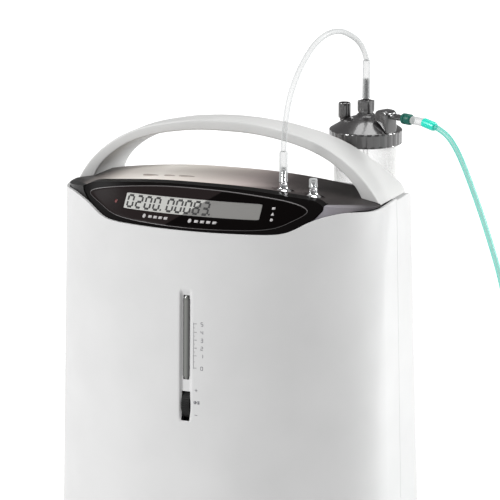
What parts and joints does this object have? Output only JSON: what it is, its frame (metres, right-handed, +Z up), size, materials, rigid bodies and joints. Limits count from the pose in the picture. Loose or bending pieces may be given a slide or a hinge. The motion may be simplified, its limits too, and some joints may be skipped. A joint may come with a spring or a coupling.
{
  "type": "oxygen concentrator",
  "caption": "Home oxygen concentrator: elliptical casing with arch handle, sloped console, flow meter and clip-in humidifier bottle with tubing.",
  "frame": {"origin": "on the floor, under the middle of the box of the device without its tubing", "axes": "+Z up, front towards -Y, +X to the right seen from the front"},
  "size_m": [0.5262, 0.2651, 0.5846],
  "materials": {
    "white_plastic": "satin moulded ABS",
    "handle_plastic": "satin moulded ABS",
    "deck_taupe": "satin metallic paint on moulded plastic",
    "console_black": "gloss black",
    "lcd_glass": "grey reflective display",
    "dark_plastic": "moulded, fine texture",
    "lid_grey": "semi-gloss moulded",
    "clear_plastic": "clear polycarbonate",
    "clear_tube": "clear flexible tube",
    "green_tube": "translucent green flexible tube",
    "chrome_fitting": "plated",
    "rubber_black": "matt",
    "steel": "zinc plated",
    "cast_alloy": "die cast",
    "painted_steel": "powder coat",
    "circuit_board": "solder mask",
    "sponge": "open-cell foam",
    "brass_fitting": "turned",
    "silicone": "translucent silicone"
  },
  "bodies": {
    "casing": {"bacteria_filter": "clear_plastic", "base_pan": "dark_plastic", "carry_handle": "handle_plastic", "case_screws": "steel", "compressor_plate": "painted_steel", "console_housing": "console_black", "console_lens": "console_black", "crankcases": "cast_alloy", "cylinder_heads": "cast_alloy", "display_board": "circuit_board", "fan_frame": "dark_plastic", "fan_shelf": "painted_steel", "flow_bezel": "white_plastic", "flow_tube": "clear_plastic", "front_shell": "white_plastic", "internal_hoses": "silicone", "isolation_mounts": "rubber_black", "lcd_window": "lcd_glass", "main_board": "circuit_board", "motor_housing": "cast_alloy", "motor_stator": "steel", "needle_valve_body": "brass_fitting", "outlet_fittings": "chrome_fitting", "power_inlet": "dark_plastic", "product_tank": "white_plastic", "rear_shell": "white_plastic", "rubber_feet": "rubber_black", "run_capacitor": "white_plastic", "sieve_bed_a": "cast_alloy", "sieve_bed_b": "cast_alloy", "solenoid_coils": "dark_plastic", "sponge_filter": "sponge", "top_deck": "deck_taupe", "valve_block": "cast_alloy"},
    "flow_wheel": {"flow_wheel": "dark_plastic"},
    "valve_needle": {"valve_needle": "steel"},
    "flow_float": {"flow_float": "steel"},
    "crankshaft": {"crankshaft": "steel"},
    "left_rod": {"piston_rod_left": "cast_alloy"},
    "right_rod": {"piston_rod_right": "cast_alloy"},
    "fan": {"fan_rotor": "dark_plastic"},
    "plunger_a": {"valve_plunger_a": "steel"},
    "plunger_b": {"valve_plunger_b": "steel"},
    "rocker": {"power_rocker": "dark_plastic"},
    "spare_cap": {"outlet_cap": "clear_tube"},
    "filter_door": {"filter_cover": "white_plastic"},
    "lid_nut": {"inlet_nut": "lid_grey"},
    "bottle": {"bottle_jar": "clear_plastic", "bottle_lid": "lid_grey", "inlet_barb": "lid_grey", "relief_valve": "lid_grey", "dip_tube": "clear_plastic", "outlet_elbow": "lid_grey", "connecting_sleeves": "clear_tube", "connecting_tube": "clear_tube", "supply_connector": "green_tube", "supply_tube": "green_tube", "supply_coil": "green_tube", "coil_tie": "rubber_black", "far_connector": "green_tube"}
  },
  "joints": [
    {"name": "flow_knob_turn", "type": "hinge", "parent": "casing", "child": "flow_wheel", "pos_m": [0, -0.1083, 0.196], "axis": [1, 0, 0], "range_deg": [0, 1080]},
    {"name": "needle_travel", "type": "slide", "parent": "casing", "child": "valve_needle", "axis": [-1, 0, 0], "range_m": [0, 0.003]},
    {"name": "float_rise", "type": "slide", "parent": "casing", "child": "flow_float", "axis": [0, 0, 1], "range_m": [0, 0.09]},
    {"name": "power_rock", "type": "hinge", "parent": "casing", "child": "rocker", "pos_m": [-0.118, 0.1119, 0.088], "axis": [0, 0, 1], "range_deg": [0, 12]},
    {"name": "crank_spin", "type": "hinge", "parent": "casing", "child": "crankshaft", "pos_m": [-0.055, 0.002, 0.112], "axis": [1, 0, 0], "continuous": true},
    {"name": "left_rod_swing", "type": "hinge", "parent": "crankshaft", "child": "left_rod", "pos_m": [-0.124, 0.002, 0.115], "axis": [1, 0, 0], "continuous": true},
    {"name": "right_rod_swing", "type": "hinge", "parent": "crankshaft", "child": "right_rod", "pos_m": [0.014, 0.002, 0.115], "axis": [1, 0, 0], "continuous": true},
    {"name": "fan_spin", "type": "hinge", "parent": "casing", "child": "fan", "pos_m": [-0.055, 0.002, 0.262], "axis": [0, 0, 1], "continuous": true},
    {"name": "valve_a_lift", "type": "slide", "parent": "casing", "child": "plunger_a", "axis": [0, 0, 1], "range_m": [0, 0.003], "stiffness_N_per_m": 300, "springref_m": -0.002},
    {"name": "valve_b_lift", "type": "slide", "parent": "casing", "child": "plunger_b", "axis": [0, 0, 1], "range_m": [0, 0.003], "stiffness_N_per_m": 300, "springref_m": -0.002},
    {"name": "spare_cap_pull", "type": "slide", "parent": "casing", "child": "spare_cap", "axis": [0, 0, 1], "range_m": [0, 0.03]},
    {"name": "filter_cover_pull", "type": "slide", "parent": "casing", "child": "filter_door", "axis": [0, 1, 0], "range_m": [0, 0.04]},
    {"name": "bottle_lift", "type": "slide", "parent": "casing", "child": "bottle", "axis": [0, 0, 1], "range_m": [0, 0.12]},
    {"name": "lid_nut_turn", "type": "hinge", "parent": "bottle", "child": "lid_nut", "pos_m": [0.126, 0.092, 0.49], "axis": [0, 0, 1], "continuous": true}
  ],
  "couplings": [
    {"joint": "needle_travel", "follows": "flow_knob_turn", "m_per_rad": 0.00015915},
    {"joint": "left_rod_swing", "follows": "crank_spin", "ratio": -1},
    {"joint": "right_rod_swing", "follows": "crank_spin", "ratio": -1}
  ]
}
